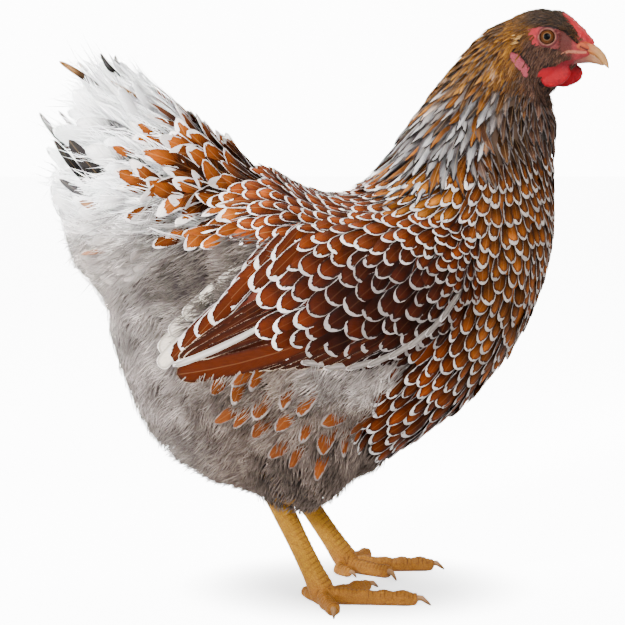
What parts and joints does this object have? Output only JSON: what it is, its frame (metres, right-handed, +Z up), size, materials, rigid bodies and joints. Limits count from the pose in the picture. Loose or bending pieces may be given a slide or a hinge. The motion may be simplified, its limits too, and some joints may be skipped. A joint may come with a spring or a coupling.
{
  "type": "chicken",
  "caption": "Still life-size standing hen with laced red plumage, small red rose comb, short wattles and yellow legs, head turned a little to its right, for display as in a museum.",
  "frame": {"origin": "bottom centre of the bird's bounding box, at floor level between the feet and the trunk's middle", "axes": "+X is the way the bird faces, +Y its left side, +Z up"},
  "size_m": [0.3622, 0.1846, 0.3835],
  "materials": {
    "laced_plumage": "soft overlapping feathers, red-brown with pale grey-white lace at each edge",
    "hackle_plumage": "narrow pointed neck feathers, golden brown and grey-white with dark edges",
    "tail_plumage": "broad orange-brown coverts over soft white and grey tail feathers",
    "fluff": "loose grey down with a frayed edge",
    "face_skin": "bare red facial skin with fine folds and dark bristles",
    "comb_skin": "moist pebbled red comb, wattles and earlobes",
    "leg_scales": "yellow scaled skin with brown-orange scutes",
    "horn": "smooth horn, yellowish with brown tones",
    "eye": "wet orange-brown iris round a black pupil"
  },
  "bodies": {
    "root": {"trunk": "laced_plumage", "neck": "hackle_plumage", "tail": "tail_plumage", "head": "face_skin", "wing_right": "laced_plumage", "wing_left": "laced_plumage", "thigh_right": "fluff", "thigh_left": "fluff", "shank_right": "leg_scales", "shank_left": "leg_scales", "beak_upper": "horn", "beak_lower": "horn", "comb": "comb_skin", "wattle_right": "comb_skin", "wattle_left": "comb_skin", "earlobe_right": "comb_skin", "earlobe_left": "comb_skin", "eye_right": "eye", "eye_left": "eye", "toe1_right": "leg_scales", "claw1_right": "horn", "toe2_right": "leg_scales", "claw2_right": "horn", "toe3_right": "leg_scales", "claw3_right": "horn", "toe4_right": "leg_scales", "claw4_right": "horn", "toe1_left": "leg_scales", "claw1_left": "horn", "toe2_left": "leg_scales", "claw2_left": "horn", "toe3_left": "leg_scales", "claw3_left": "horn", "toe4_left": "leg_scales", "claw4_left": "horn"}
  },
  "joints": []
}
